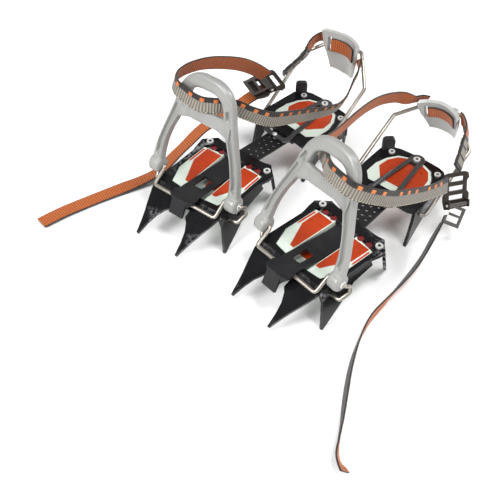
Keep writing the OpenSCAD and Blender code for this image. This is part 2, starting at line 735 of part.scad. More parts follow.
on_right_buckle() buckle_pin(right_pin_y);  // right_buckle_pin
difference() {  // right_sewn_loop
    on_right() sewn_loop(right_loop_route);
    on_right_heel() heel_wire(right_wire_angle, 0.7);
}
on_right() strap(right_inner_route);  // right_strap_inner
on_right() strap(right_outer_route);  // right_strap_outer
on_right() strap(right_tail_route);  // right_strap_tail
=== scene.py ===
import math

import bmesh
import bpy
import numpy as np
from mathutils import Matrix, Vector


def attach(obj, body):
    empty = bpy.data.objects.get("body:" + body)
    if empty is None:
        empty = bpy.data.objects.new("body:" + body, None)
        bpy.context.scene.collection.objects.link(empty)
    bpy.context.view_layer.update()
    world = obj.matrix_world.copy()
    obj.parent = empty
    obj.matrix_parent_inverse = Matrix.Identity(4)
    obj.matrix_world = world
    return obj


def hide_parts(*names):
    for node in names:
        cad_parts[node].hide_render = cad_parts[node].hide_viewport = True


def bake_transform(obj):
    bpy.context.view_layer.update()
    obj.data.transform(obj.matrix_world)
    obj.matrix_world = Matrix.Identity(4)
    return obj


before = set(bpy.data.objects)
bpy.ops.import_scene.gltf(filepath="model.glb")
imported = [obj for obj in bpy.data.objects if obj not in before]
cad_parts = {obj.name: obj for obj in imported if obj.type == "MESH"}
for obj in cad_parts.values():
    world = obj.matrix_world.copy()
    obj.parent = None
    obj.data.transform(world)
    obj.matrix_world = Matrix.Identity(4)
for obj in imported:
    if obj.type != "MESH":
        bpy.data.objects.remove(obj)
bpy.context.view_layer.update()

MM = 0.001

# Where the two crampons stand in the row frame, as in the CAD
PAIR_SHIFT = np.array([67.2, -12.9, 0.0])
RIGHT_AT = np.array([-137.0, -14.6, 0.0])
RIGHT_TURN = math.radians(10.5)
STRAP_W = 15.0
STRAP_T = 1.6

# ---- Routes of the webbing ----
# In one crampon's own frame, in millimetres: a point, then the way the outer face looks

ROUTES = {
    "left_inner": [
        (-43.3, 145.2, 82.6, -0.7, 0.6, 0.4), (-47.8, 139.4, 84.6, -0.9, 0.3, 0.5),
        (-52, 131, 85, -1, 0.1, 0.5),
        (-57, 119, 91, -1, 0, 0.4), (-59, 100, 97, -1, 0, 0.3), (-58, 80, 101, -1, 0, 0.2),
        (-54, 58, 104, -1, 0, 0.2), (-50, 36, 104, -1, -0.1, 0.2), (-44, 14, 107, -0.9, -0.4, 0.2),
        (-36, -6, 114, -0.7, -0.7, 0.2), (-25, -19, 121.5, -0.6, -0.7, 0.3), (-14, -27, 127, -0.6, -0.7, 0.3),
        (-8, -32, 128.5, -0.6, -0.7, 0.3),
    ],
    "left_outer": [
        (-6.5, -33.3, 129, -0.6, -0.7, 0.3), (-1, -38, 131, -0.5, -0.8, 0.3), (7, -42, 132, -0.2, -0.9, 0.4),
        (19, -43.5, 132, 0.1, -0.9, 0.4), (30, -43.2, 130.5, 0.5, -0.8, 0.3),
        (38, -35.3, 126, 0.8, -0.6, 0.3),
        (43, -22, 118, 0.9, -0.4, 0.2), (45, -4, 107, 1, -0.1, 0.2), (45, 16, 97, 1, 0, 0.2),
        (44, 38, 86, 1, 0, 0.2), (42, 58, 77, 1, 0.1, 0.2), (39.5, 73, 70, 0.9, 0.2, 0.3),
        (38, 82, 66, 0.9, 0.2, 0.3),
    ],
    "left_loop": [
        (-4, 149.6, 81.2, 0.6, 0.7, 0.2), (2.5, 146.7, 82.6, 0.6, 0.7, 0.3), (10, 140.8, 81, 0.8, 0.6, 0.3),
        (16, 131, 73.5, 0.8, 0.5, 0.4), (22, 121, 68.5, 0.8, 0.4, 0.4), (28, 109, 64, 0.8, 0.3, 0.4),
    ],
    "left_tail": [
        (47, 73, 31, 0.8, 0.5, -0.2), (50, 60, 23, 0.8, 0.5, -0.3), (54, 44, 14, 0.9, 0.4, -0.4),
        (58, 24, 8.6, 0.9, 0.2, -0.5), (62, 2, 7.7, 0.9, 0.1, -0.4), (66, -20, 7.7, 1, 0, -0.2),
        (70, -42, 7.7, 1, 0, -0.1), (77, -61, 7.7, 0.9, 0.2, -0.1), (86, -79, 7.7, 0.9, 0.4, -0.2),
        (98, -98, 7.7, 0.8, 0.5, -0.2), (112, -117, 7.7, 0.8, 0.6, -0.2), (126, -135, 7.7, 0.8, 0.6, -0.1),
        (137, -150, 7.7, 0.8, 0.6, 0), (147, -161, 7.6, 0.6, 0.8, 0.3), (158, -165, 6.6, 0.4, 0.7, 0.6),
    ],
    "right_inner": [
        (-42.8, 137.9, 96.4, -0.7, 0.6, -0.2), (-47, 131.9, 88, -0.9, 0.2, -0.3), (-48, 121, 79, -1, 0, -0.4),
        (-51, 106, 72, -1, 0, -0.4), (-52, 90, 71, -1, 0, -0.4), (-52, 74, 76, -1, 0, -0.4),
        (-51, 55, 84, -1, 0, -0.3), (-49, 36, 92, -1, 0, -0.2), (-46, 14, 101, -1, -0.1, -0.1),
        (-42, -8, 111, -0.9, -0.4, 0.1), (-33, -24, 122, -0.6, -0.8, 0.2),
        (-22.6, -31.7, 128.2, -0.6, -0.7, 0.2),
        (-16, -37, 129.5, -0.6, -0.7, 0.2),
    ],
    "right_outer": [
        (-14, -38.9, 130.2, -0.6, -0.7, 0.2), (-7.4, -44.6, 131, -0.5, -0.8, 0.2),
        (1, -50, 131.5, -0.2, -0.9, 0.3),
        (11, -51.5, 133, 0.1, -0.9, 0.3), (22, -51, 135.5, 0.2, -0.9, 0.3), (30, -49.7, 137, 0.5, -0.8, 0.3),
        (38, -41, 138, 0.9, -0.5, 0.3), (40, -25, 137, 1, -0.1, 0.3), (37, -4, 133, 1, 0.1, 0.3),
        (33, 18, 124, 1, 0.1, 0.3), (29, 40, 112, 1, 0.2, 0.3), (26, 58, 98, 0.9, 0.3, 0.4),
        (22.5, 72, 84, 0.8, 0.3, 0.5),
    ],
    "right_loop": [
        (-1.4, 144.4, 101, 0.6, 0.7, 0.2), (4.9, 140.6, 102, 0.6, 0.7, 0.4), (9.5, 132.6, 98, 0.8, 0.4, 0.4),
        (11, 121, 87.5, 0.8, 0.3, 0.5), (15, 107, 80.5, 0.8, 0.3, 0.5), (18, 96, 75.5, 0.8, 0.3, 0.5),
    ],
    "right_tail": [
        (23, 76, 68, -0.1, 0.2, 1), (27, 67, 65, -0.1, 0.2, 1), (31, 56, 62, 0, 0.1, 1),
        (36, 42, 57, 0, 0.1, 1), (43.5, 24, 51, 0, 0, 1), (50.5, 6, 44.5, 0.1, 0, 1),
        (55.5, -10, 35, 0.1, 0, 1), (61.5, -24, 24, 0.1, 0, 1), (67, -40, 13, 0.1, 0.1, 1),
        (76, -56, 6, 0.1, 0.1, 1), (86, -76, 3, 0, 0, 1), (95, -98, 2, 0, 0, 1),
        (102, -118, 2, 0, 0, 1), (108, -138, 2.5, 0, 0, 1), (113, -160, 2.5, 0, 0, 1),
    ],
}


def turned(side, v):
    """A crampon's own direction to the row frame: the right one is mirrored and turned."""
    v = np.array(v, float)
    if side == "right":
        c, s = math.cos(RIGHT_TURN), math.sin(RIGHT_TURN)
        x, y = -v[0], v[1]
        v = np.array([c * x - s * y, s * x + c * y, v[2]])
    return v


def row_point(side, p):
    """A crampon's own point, in mm, to the row frame, in metres."""
    p = turned(side, p)
    if side == "right":
        p = p + RIGHT_AT
    return (p + PAIR_SHIFT) * MM


def linked(name, data):
    """A new object in the scene."""
    obj = bpy.data.objects.new(name, data)
    bpy.context.scene.collection.objects.link(obj)
    return obj


def curve_weights(t):
    """Weights of four neighbouring points at t between the middle two, on a Catmull-Rom curve."""
    weights = [-t + 2 * t**2 - t**3, 2 - 5 * t**2 + 3 * t**3, t + 4 * t**2 - 3 * t**3, -(t**2) + t**3]
    return np.array(weights) / 2


# ---- Camera ----

CAM_DISTANCE = 0.79157
AIM = Vector((-0.04921, -0.07656, 0.02079)) + Vector(PAIR_SHIFT * MM)
CAM_RIGHT = Vector((0.662, 0.749, 0.012)).normalized()
CAM_BACK = Vector((0.508, -0.461, 0.728)).normalized()
CAM_UP = CAM_BACK.cross(CAM_RIGHT).normalized()
CAM_RIGHT = CAM_UP.cross(CAM_BACK)
camera_data = bpy.data.cameras.new("camera")
camera_data.lens = 63.12
camera_data.sensor_width = 36.0
camera_data.clip_start = 0.01
camera = linked("camera", camera_data)
turn = Matrix((CAM_RIGHT, CAM_UP, CAM_BACK)).transposed().to_4x4()
bpy.context.scene.view_settings.view_transform = "Standard"
camera.matrix_world = Matrix.Translation(AIM + CAM_BACK * CAM_DISTANCE) @ turn
bpy.context.scene.camera = camera


# ---- Materials ----


class Nodes:
    """A short way to write a material's nodes."""

    def __init__(self, name):
        self.mat = bpy.data.materials.new(name)
        self.mat.use_nodes = True
        self.tree = self.mat.node_tree
        self.shader = self.tree.nodes["Principled BSDF"]
        self.coord = self.tree.nodes.new("ShaderNodeTexCoord")

    def new(self, kind, inputs=None, **settings):
        node = self.tree.nodes.new(kind)
        for key, value in settings.items():
            setattr(node, key, value)
        for key, value in (inputs or {}).items():
            if hasattr(value, "is_output"):
                self.tree.links.new(value, node.inputs[key])
            else:
                node.inputs[key].default_value = value
        return node

    def noise(self, scale, detail=3.0, rough=0.55, vector=None):
        node = self.new(
            "ShaderNodeTexNoise",
            {
                "Vector": vector or self.coord.outputs["Object"],
                "Scale": scale, "Detail": detail, "Roughness": rough,
            },
        )
        return node.outputs["Fac"]

    def math(self, op, a, b=0.0, c=0.0):
        node = self.tree.nodes.new("ShaderNodeMath")
        node.operation = op
        for i, value in enumerate((a, b, c)):
            if hasattr(value, "is_output"):
                self.tree.links.new(value, node.inputs[i])
            else:
                node.inputs[i].default_value = value
        return node.outputs[0]

    def ramp(self, fac, low, high, a=0.0, b=1.0):
        """fac taken from low..high to a..b, and held there."""
        node = self.new(
            "ShaderNodeMapRange",
            {"Value": fac, "From Min": low, "From Max": high, "To Min": a, "To Max": b},
            clamp=True,
        )
        return node.outputs[0]

    def mix(self, fac, one, two):
        node = self.new("ShaderNodeMix", data_type="RGBA")
        for key, value in ((0, fac), (6, one), (7, two)):
            if hasattr(value, "is_output"):
                self.tree.links.new(value, node.inputs[key])
            else:
                node.inputs[key].default_value = value if key == 0 else (*value, 1.0)
        return node.outputs[2]

    def set(self, **sockets):
        for key, value in sockets.items():
            socket = self.shader.inputs[key.replace("_", " ")]
            if hasattr(value, "is_output"):
                self.tree.links.new(value, socket)
            elif isinstance(value, tuple):
                socket.default_value = (*value, 1.0)
            else:
                socket.default_value = value

    def bump(self, height, distance, strength=1.0):
        node = self.new(
            "ShaderNodeBump", {"Height": height, "Distance": distance, "Strength": strength}
        )
        self.tree.links.new(node.outputs[0], self.shader.inputs["Normal"])

    def worn_edge(self, low=0.53, high=0.6):
        """1 on a convex edge, broken up by noise."""
        geometry = self.tree.nodes.new("ShaderNodeNewGeometry")
        edge = self.ramp(geometry.outputs["Pointiness"], low, high)
        return self.math("MULTIPLY", edge, self.ramp(self.noise(260.0), 0.42, 0.62))


def metal_paint():
    m = Nodes("black_steel")
    cloud = m.noise(38.0, 4.0)
    fine = m.noise(900.0, 2.0)
    base = m.mix(cloud, (0.002, 0.002, 0.0024), (0.007, 0.0072, 0.0085))
    scratch = m.new(
        "ShaderNodeMapping",
        {"Vector": m.coord.outputs["Object"], "Scale": (40.0, 900.0, 260.0), "Rotation": (0.3, 0.2, 0.9)},
    )
    lines = m.ramp(m.noise(3.0, 2.0, 0.6, scratch.outputs[0]), 0.66, 0.72)
    base = m.mix(m.math("MULTIPLY", lines, 0.16), base, (0.08, 0.08, 0.085))
    base = m.mix(m.math("MULTIPLY", m.worn_edge(), 0.8), base, (0.22, 0.22, 0.23))
    m.set(
        Base_Color=base, Metallic=0.0, Specular_IOR_Level=0.22, Roughness=m.ramp(cloud, 0.3, 0.7, 0.16, 0.28),
        Coat_Weight=0.16, Coat_Roughness=0.08,
    )
    m.bump(m.math("ADD", m.math("MULTIPLY", fine, 0.4), m.math("MULTIPLY", lines, -0.5)), 0.00006, 0.5)
    return m.mat


def plastic(
    name, dark, light, rough, grain=1400.0, coat=0.0, bump=0.00005, dirt=None, dirt_amount=0.25, spec=0.5
):
    m = Nodes(name)
    cloud = m.noise(30.0, 4.0)
    fine = m.noise(grain, 2.0)
    base = m.mix(cloud, dark, light)
    if dirt:
        smudge = m.ramp(m.noise(55.0, 5.0, 0.65), 0.5, 0.72)
        base = m.mix(m.math("MULTIPLY", smudge, dirt_amount), base, dirt)
    base = m.mix(m.math("MULTIPLY", m.worn_edge(), 0.35), base, tuple(min(1.0, 1.25 * c) for c in light))
    m.set(
        Base_Color=base, Roughness=m.ramp(cloud, 0.3, 0.7, rough - 0.05, rough + 0.07),
        Coat_Weight=coat, Coat_Roughness=0.08, Specular_IOR_Level=spec,
    )
    m.bump(fine, bump, 0.6)
    return m.mat


def steel(name, tone, rough, brushed=(400.0, 400.0, 30.0), metallic=1.0):
    m = Nodes(name)
    stretch = m.new("ShaderNodeMapping", {"Vector": m.coord.outputs["Object"], "Scale": brushed})
    lines = m.noise(6.0, 3.0, 0.6, stretch.outputs[0])
    cloud = m.noise(60.0, 4.0)
    base = m.mix(lines, tuple(0.72 * c for c in tone), tone)
    base = m.mix(m.ramp(cloud, 0.55, 0.8, 0.0, 0.35), base, tuple(0.4 * c for c in tone))
    m.set(Base_Color=base, Metallic=metallic, Roughness=m.ramp(lines, 0.3, 0.7, rough - 0.06, rough + 0.08))
    m.bump(lines, 0.00004, 0.5)
    return m.mat


def weave(name, warp, weft, pitch, edge=None, edge_from=0.0, rough=0.85, fuzz=0.25, band_from=None, tacks=()):
    """Woven tape. The map holds millimetres: along in U, across in V from the middle."""
    m = Nodes(name)
    uv = m.new("ShaderNodeSeparateXYZ", {"Vector": m.coord.outputs["UV"]})
    u, v = uv.outputs[0], uv.outputs[1]
    shift = m.math("MULTIPLY", m.math("PINGPONG", v, 0.45), 0.5)
    rib = m.math("SINE", m.math("MULTIPLY", m.math("ADD", u, shift), 2 * math.pi / pitch))
    yarn = m.math("SINE", m.math("MULTIPLY", v, 2 * math.pi / 0.9))
    rib01 = m.ramp(rib, -1.0, 1.0)
    base = m.mix(rib01, weft, warp)
    patch = m.noise(220.0, 3.0)
    base = m.mix(m.ramp(patch, 0.35, 0.75, 0.0, 0.45), base, tuple(0.55 * c for c in warp))
    lint = m.ramp(m.noise(2600.0, 1.0), 0.62, 0.75)
    base = m.mix(m.math("MULTIPLY", lint, fuzz), base, tuple(min(1.0, 1.7 * c + 0.05) for c in warp))
    if edge:
        side = m.ramp(m.math("ABSOLUTE", v), edge_from - 0.15, edge_from + 0.15)
        if band_from is not None:
            side = m.math("MAXIMUM", side, m.ramp(v, band_from - 0.15, band_from + 0.15))
        base = m.mix(side, base, edge)
    for centre_u, half in tacks:
        near = m.ramp(m.math("ABSOLUTE", m.math("SUBTRACT", u, centre_u)), half + 0.2, half - 0.2)
        base = m.mix(near, base, (0.008, 0.0075, 0.007))
    m.set(
        Base_Color=base, Roughness=m.ramp(patch, 0.3, 0.7, rough - 0.08, rough + 0.08),
        Sheen_Weight=0.2, Sheen_Roughness=0.5,
    )
    height = m.math("ADD", m.math("MULTIPLY", rib, 0.6), m.math("MULTIPLY", yarn, 0.3))
    height = m.math("ADD", height, m.math("MULTIPLY", m.noise(1800.0), 0.35))
    m.bump(height, 0.00016, 0.9)
    return m.mat


BLACK_STEEL = metal_paint()
WHITE_PLATE = plastic(
    "pale_plate", (0.50, 0.57, 0.50), (0.64, 0.70, 0.63), 0.34, coat=0.15, dirt=(0.34, 0.36, 0.30),
    dirt_amount=0.22,
)
ORANGE_PANEL = plastic(
    "orange_panel", (0.31, 0.024, 0.003), (0.42, 0.044, 0.006), 0.28, coat=0.12, spec=0.35,
    dirt=(0.30, 0.03, 0.012), dirt_amount=0.3,
)
RED_CLIP = plastic("dark_red_clip", (0.10, 0.004, 0.006), (0.19, 0.010, 0.012), 0.2, coat=0.8)
HARNESS = plastic(
    "harness_plastic", (0.205, 0.205, 0.197), (0.31, 0.31, 0.298), 0.32, grain=1100.0, coat=0.15,
    bump=0.00007, dirt=(0.20, 0.195, 0.18), dirt_amount=0.25,
)
CUP = plastic(
    "cup_plastic", (0.30, 0.30, 0.29), (0.43, 0.43, 0.415), 0.34, grain=1100.0, coat=0.2,
    dirt=(0.24, 0.23, 0.215), dirt_amount=0.25,
)
CHARCOAL = plastic(
    "charcoal_bar", (0.006, 0.006, 0.007), (0.014, 0.014, 0.016), 0.4, grain=900.0, bump=0.0001,
    dirt=(0.04, 0.039, 0.037), dirt_amount=0.25, spec=0.3,
)
RUBBER = plastic(
    "black_rubber", (0.008, 0.008, 0.009), (0.02, 0.02, 0.022), 0.5, grain=700.0, bump=0.00012,
    dirt=(0.07, 0.068, 0.064), dirt_amount=0.25,
)
WIRE = steel("wire_steel", (0.42, 0.385, 0.335), 0.3, metallic=0.9)
RIVET = steel("rivet_steel", (0.86, 0.86, 0.84), 0.4, (200.0, 200.0, 200.0), 0.45)
LEVER = steel("lever_steel", (0.20, 0.20, 0.205), 0.36, (30.0, 500.0, 300.0))
BUCKLE = steel("buckle_metal", (0.055, 0.045, 0.038), 0.34, (60.0, 400.0, 300.0), 0.7)
BUCKLE_GREY = steel("buckle_plate", (0.13, 0.12, 0.115), 0.38, (60.0, 400.0, 300.0), 0.8)
TAPE_GREY = weave(
    "tape_grey", (0.30, 0.27, 0.225), (0.075, 0.067, 0.055), 2.6, edge=(0.008, 0.0075, 0.007),
    edge_from=6.6, band_from=2.6,
)
TAPE_ORANGE = weave(
    "tape_orange", (0.50, 0.112, 0.004), (0.15, 0.024, 0.001), 2.4, edge=(0.33, 0.055, 0.006),
    edge_from=6.6,
)
TAPE_EDGE = weave("tape_edge", (0.018, 0.014, 0.010), (0.006, 0.005, 0.005), 1.2)
TAPE_DARK = weave("tape_black", (0.014, 0.012, 0.011), (0.005, 0.005, 0.005), 1.3)
THREAD_ORANGE = weave("thread_orange", (0.75, 0.22, 0.04), (0.5, 0.12, 0.02), 0.5)
THREAD_BLACK = weave("thread_black", (0.02, 0.018, 0.016), (0.006, 0.006, 0.006), 0.5)
THREAD_CREAM = weave("thread_cream", (0.62, 0.56, 0.44), (0.40, 0.34, 0.24), 0.5)

NODE_LOOKS = {
    "front_frame": BLACK_STEEL, "heel_frame": BLACK_STEEL, "bar_guide": BLACK_STEEL,
    "front_plate": WHITE_PLATE, "heel_plate": WHITE_PLATE,
    "front_panels": ORANGE_PANEL, "heel_panels": ORANGE_PANEL,
    "front_rivets": RIVET, "heel_rivets": RIVET, "lever_rivet": RIVET, "buckle_pin": RIVET, "lock_pin": RIVET,
    "front_clips": RED_CLIP, "toe_wire": WIRE, "heel_wire": WIRE,
    "toe_harness": HARNESS, "heel_cup": CUP, "linking_bar": CHARCOAL, "heel_ear": RUBBER,
    "lock_lever": LEVER, "lever_root": LEVER, "buckle_frame": BUCKLE, "buckle_cam": BUCKLE_GREY,
}
# Edge rounding of each CAD piece, in mm
ROUNDING = {
    "toe_harness": (1.3, 3), "heel_cup": (1.0, 3), "front_panels": (0.5, 2), "front_plate": (0.5, 2),
    "heel_panels": (0.5, 2), "heel_plate": (0.5, 2), "heel_ear": (0.8, 3), "front_frame": (0.35, 2),
    "heel_frame": (0.35, 2), "linking_bar": (0.3, 2), "bar_guide": (0.35, 2), "lock_lever": (0.3, 2),
    "lever_root": (0.3, 2), "buckle_frame": (0.35, 2), "buckle_cam": (0.35, 2), "front_clips": (0.3, 2),
    "front_rivets": (0.35, 3), "heel_rivets": (0.35, 3), "lever_rivet": (0.35, 3),
}


def dress(node, obj):
    """A CAD piece's material and softened edges; the mesh itself stays as it is."""
    kind = node.split("_", 1)[1]
    look = NODE_LOOKS.get(kind)
    if look is None:
        return
    obj.data.materials.clear()
    obj.data.materials.append(look)
    for polygon in obj.data.polygons:
        polygon.material_index = 0
        polygon.use_smooth = True
    weld = obj.modifiers.new("weld", "WELD")
    weld.merge_threshold = 0.00002
    if kind in ROUNDING:
        width, segments = ROUNDING[kind]
        bevel = obj.modifiers.new("rounding", "BEVEL")
        bevel.width = width * MM
        bevel.segments = segments
        bevel.limit_method = "ANGLE"
        bevel.angle_limit = math.radians(32)
        bevel.use_clamp_overlap = True
        bevel.harden_normals = False
        smooth = obj.modifiers.new("shading", "WEIGHTED_NORMAL")
        smooth.keep_sharp = True
        smooth.weight = 60


for node_name, node_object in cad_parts.items():
    dress(node_name, node_object)


# ---- Webbing ----


def smooth_route(side, rows, step=0.32):
    """Evenly spaced centres, headings, across and outward ways, in metres, and the run along them, in mm."""
    points = np.array([row_point(side, r[:3]) for r in rows])
    ways = np.array([turned(side, r[3:]) for r in rows])
    ways /= np.linalg.norm(ways, axis=1)[:, None]
    padded = np.vstack([2 * points[0] - points[1], points, 2 * points[-1] - points[-2]])
    wadded = np.vstack([ways[0], ways, ways[-1]])
    dense, dense_w, marks = [], [], []
    for i in range(len(points) - 1):
        p0, p1, p2, p3 = padded[i : i + 4]
        w0, w1, w2, w3 = wadded[i : i + 4]
        marks.append(len(dense))
        for t in np.linspace(0, 1, 60, endpoint=False):
            a = curve_weights(t)
            dense.append(a @ np.array([p0, p1, p2, p3]))
            dense_w.append(a @ np.array([w0, w1, w2, w3]))
    marks.append(len(dense))
    dense.append(points[-1])
    dense_w.append(ways[-1])
    dense, dense_w = np.array(dense), np.array(dense_w)
    run = np.concatenate([[0], np.cumsum(np.linalg.norm(np.diff(dense, axis=0), axis=1))]) / MM
    count = int(run[-1] / step)
    at = np.linspace(0, run[-1], count + 1)
    centre = np.stack([np.interp(at, run, dense[:, k]) for k in range(3)], 1)
    way = np.stack([np.interp(at, run, dense_w[:, k]) for k in range(3)], 1)
    along = np.gradient(centre, axis=0)
    along /= np.linalg.norm(along, axis=1)[:, None]
    across = np.cross(along, way)
    across /= np.linalg.norm(across, axis=1)[:, None]
    out = np.cross(across, along)
    return centre, along, across, out, at, run[marks]


def section(width, thick):
    """Round-edged tape section: across, out, and which face each side belongs to."""
    half, t = width / 2, thick / 2
    flat = half - t * 0.9
    pts = [(x, t) for x in np.linspace(-flat, flat, 9)]
    pts += [(flat + t * 0.62, t * 0.72), (half, 0.0), (flat + t * 0.62, -t * 0.72)]
    pts += [(x, -t) for x in np.linspace(flat, -flat, 9)]
    pts += [(-flat - t * 0.62, -t * 0.72), (-half, 0.0), (-flat - t * 0.62, t * 0.72)]
    faces = [0] * 8 + [2] * 4 + [1] * 8 + [2] * 4
    return np.array(pts), faces


def tape(
    name, side, rows, looks, rib=(2.6, 0.2), rib_in=(2.4, 0.14), span=None, width=STRAP_W, thick=STRAP_T,
    stitches=(), layers=None, clip=False,
):
    """A run of webbing as one mesh. looks: outer, inner and edge material, then the threads'.

    rib: pitch and height of the outer face's ribs, in mm. clip: start past the middle of the first row.
    """
    centre, along, across, out, at, marks = smooth_route(side, rows)
    lo, hi = span or (0, len(marks) - 1)
    begin = marks[lo] + (0.55 * (marks[lo + 1] - marks[lo]) if clip else 0.0)
    keep = (at >= begin - 0.2) & (at <= marks[hi] + 0.2)
    first, last = np.flatnonzero(keep)[[0, -1]]
    pts, face_of = section(width, thick)
    up = 1.0 if across[first:last, 2].mean() >= 0 else -1.0
    verts, uvs = [], []
    for i in range(first, last + 1):
        wave = math.cos(at[i] * 2 * math.pi / rib[0]) * rib[1]
        wave_in = math.cos(at[i] * 2 * math.pi / rib_in[0]) * rib_in[1]
        scale = 1.0 if layers is None else layers(at[i], marks[-1])
        for x, z in pts:
            edge = max(0.0, 1 - (abs(x) / (width / 2)) ** 6)
            z = z * scale + (wave if z > 0 else -wave_in) * edge * (0.5 if z != 0 else 0)
            verts.append(centre[i] + (across[i] * x + out[i] * z) * MM)
            uvs.append((at[i], x * up))
    n = len(pts)
    rings = last - first + 1
    faces, mats = [], []
    for i in range(rings - 1):
        for k in range(n):
            a, b = i * n + k, i * n + (k + 1) % n
            faces.append((a, b, b + n, a + n))
            mats.append(face_of[k])
    faces.append(tuple(range(n - 1, -1, -1)))
    faces.append(tuple((rings - 1) * n + k for k in range(n)))
    mats += [2, 2]
    # Threads: short raised capsules on a face
    for offset, z_side, pitch, long, look in stitches:
        s = at[first] + pitch / 2
        while s < at[last] - pitch / 2:
            i = int(np.searchsorted(at, s))
            level = (thick / 2 + 0.12) * z_side
            if layers is not None:
                level *= layers(at[i], marks[-1])
            c = centre[i] + (across[i] * offset * up + out[i] * level) * MM
            base = len(verts)
            for t, r in ((-0.5, 0.35), (-0.3, 1.0), (0.3, 1.0), (0.5, 0.35)):
                for q in range(6):
                    w = math.pi * q / 3
                    r_a, r_o = 0.34 * r * math.cos(w), 0.2 * r * math.sin(w)
                    verts.append(c + (along[i] * t * long + across[i] * r_a + out[i] * r_o) * MM)
                    uvs.append((s, offset))
            for t in range(3):
                for q in range(6):
                    a, b = base + t * 6 + q, base + t * 6 + (q + 1) % 6
                    faces.append((a, b, b + 6, a + 6))
                    mats.append(look)
            faces.append(tuple(base + q for q in range(5, -1, -1)))
            faces.append(tuple(base + 18 + q for q in range(6)))
            mats += [look, look]
            s += pitch
    mesh = bpy.data.meshes.new(name)
    mesh.from_pydata([tuple(v) for v in verts], [], faces)
    for look in looks:
        mesh.materials.append(look)
    mesh.polygons.foreach_set("material_index", mats)
    mesh.polygons.foreach_set("use_smooth", [True] * len(faces))
    layer = mesh.uv_layers.new(name="tape")
    order = np.empty(len(mesh.loops), np.int32)
    mesh.loops.foreach_get("vertex_index", order)
    layer.data.foreach_set("uv", np.array(uvs)[order].ravel())
    mesh.update()
    obj = linked(name, mesh)
    fix_normals(obj)
    return obj, centre[[first, last]], along[[first, last]], centre


def fix_normals(obj):
    work = bmesh.new()
    work.from_mesh(obj.data)
    bmesh.ops.recalc_face_normals(work, faces=work.faces)
    work.to_mesh(obj.data)
    work.free()


STRAP_LOOKS = [TAPE_GREY, TAPE_ORANGE, TAPE_EDGE, THREAD_ORANGE, THREAD_CREAM]
# Threads: across, face (1 outer, -1 inner), pitch, length, and the look's place in the list
STRAP_STITCHES = [(o, 1, 12.5, 4.6, 3) for o in (3.1, 3.75, 4.4, 5.05, 5.7)] + [(-6.6, 1, 3.2, 1.6, 4)]


def strap_run(side, route, pieces):
    """One strap, cut where it passes from body to body.

    pieces: (first row, last row, body at the start, body at the end).
    """
    for k, (lo, hi, a, b) in enumerate(pieces):
        name = f"{side}_{route}_webbing_{k + 1}"
        rows = ROUTES[f"{side}_{route}"]
        obj, ends, ways, _ = tape(name, side, rows, STRAP_LOOKS, span=(lo, hi), stitches=STRAP_STITCHES)
        if a == b:
            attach(obj, f"{side}_{a}")
        else:
            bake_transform(obj)
        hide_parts(f"{side}_strap_{route}")


def loop_layers(s, total):
    """Sewn loop: squeezed thin where it is tacked, full between."""
    near = min(abs(s / total - c) for c in TACKS)
    return 0.62 + 0.42 * min(1.0, near / 0.03)


HEEL_LOOKS = [TAPE_ORANGE, TAPE_ORANGE, TAPE_EDGE, THREAD_CREAM, THREAD_CREAM]
TACKS = (0.46, 0.62, 0.80, 0.97)


def loop_looks(side):
    total = smooth_route(side, ROUTES[f"{side}_loop"])[4][-1]
    tape_look = weave(
        f"tape_loop_{side}", (0.30, 0.27, 0.225), (0.075, 0.067, 0.055), 2.2, edge=(0.008, 0.0075, 0.007),
        edge_from=6.0, tacks=[(total * c, 1.3) for c in TACKS],
    )
    return [tape_look, tape_look, TAPE_EDGE, THREAD_BLACK, THREAD_CREAM]


TAIL_LOOKS = [TAPE_ORANGE, TAPE_DARK, TAPE_EDGE, THREAD_CREAM, THREAD_ORANGE]

for side in ("left", "right"):
    # The free tail, built first
    rows = ROUTES[f"{side}_tail"]
    tail, _, _, centre = tape(f"{side}_free_tail", side, rows, TAIL_LOOKS, rib=(2.4, 0.2), rib_in=(2.4, 0.12))
    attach(tail, f"{side}_heel")
    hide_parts(f"{side}_strap_tail")

    last = len(ROUTES[f"{side}_inner"]) - 1
    strap_run(
        side, "inner",
        [
            (0, 3, "cup", "wire"), (3, 6, "wire", "heel"), (6, 9, "heel", "front"),
            (9, last, "front", "harness"),
        ],
    )
    last = len(ROUTES[f"{side}_outer"]) - 1
    strap_run(
        side, "outer",
        [
            (0, 4, "harness", "front"), (4, 7, "front", "heel"), (7, 9, "heel", "wire"),
            (9, 11, "wire", "cup"), (11, last, "cup", "buckle"),
        ],
    )

    # From the heel cup: plain strap first, then the sewn loop on it
    for part, span, looks, thick, layers in (
        ("heel_strap", (0, 3), HEEL_LOOKS, 1.7, None),
        ("heel_loop", (2, 5), loop_looks(side), 3.3, loop_layers),
    ):
        loop, _, _, _ = tape(
            f"{side}_{part}", side, ROUTES[f"{side}_loop"], looks, rib=(2.2, 0.2), rib_in=(2.2, 0.2),
            thick=thick, layers=layers, span=span, clip=part == "heel_loop",
        )
        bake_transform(loop)
        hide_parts(f"{side}_sewn_loop")


# ---- Toe harness ----
# A moulded shell on the CAD harness's outline, drawn as (across, up the lean) in mm

